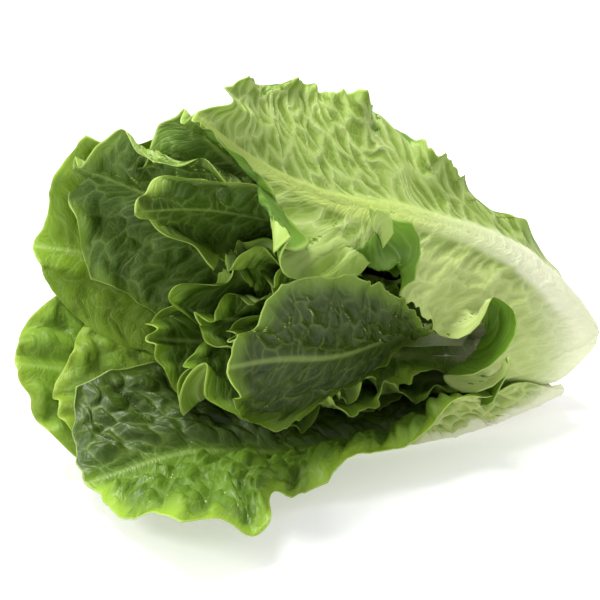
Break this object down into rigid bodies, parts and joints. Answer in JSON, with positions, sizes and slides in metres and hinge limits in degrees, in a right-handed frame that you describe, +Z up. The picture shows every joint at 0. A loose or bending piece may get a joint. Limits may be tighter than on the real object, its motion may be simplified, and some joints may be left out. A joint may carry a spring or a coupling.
{
  "type": "romaine lettuce head",
  "caption": "Head of romaine lettuce lying on its side, its ruffled green leaves opening out from a short cut stem.",
  "frame": {"origin": "middle of the underside of the bounding box, on the surface that the head lies on", "axes": "+Z up from that surface, +X along the box's longest side and towards the cut stem, -Y towards the side that the head opens on"},
  "size_m": [0.279, 0.2126, 0.1879],
  "materials": {
    "leaf_pale": "satin, waxy, blistered leaf, pale green with a white midrib",
    "leaf_green": "satin, waxy, blistered leaf, fresh green",
    "leaf_dark": "satin, waxy, blistered leaf, dark green",
    "stem": "matt, moist cut stem, cream"
  },
  "bodies": {
    "root": {"leaf_back_low": "leaf_green", "leaf_low": "leaf_green", "leaf_bottom": "leaf_green", "leaf_top": "leaf_pale", "leaf_back": "leaf_green", "leaf_back_top": "leaf_dark", "leaf_back_high": "leaf_dark", "leaf_curled_tip": "leaf_dark", "leaf_inner_1": "leaf_dark", "leaf_inner_2": "leaf_dark", "leaf_inner_3": "leaf_dark", "leaf_inner_4": "leaf_dark", "leaf_inner_5": "leaf_dark", "leaf_inner_6": "leaf_dark", "leaf_inner_7": "leaf_dark", "leaf_middle": "leaf_dark", "stem": "stem"}
  },
  "joints": []
}
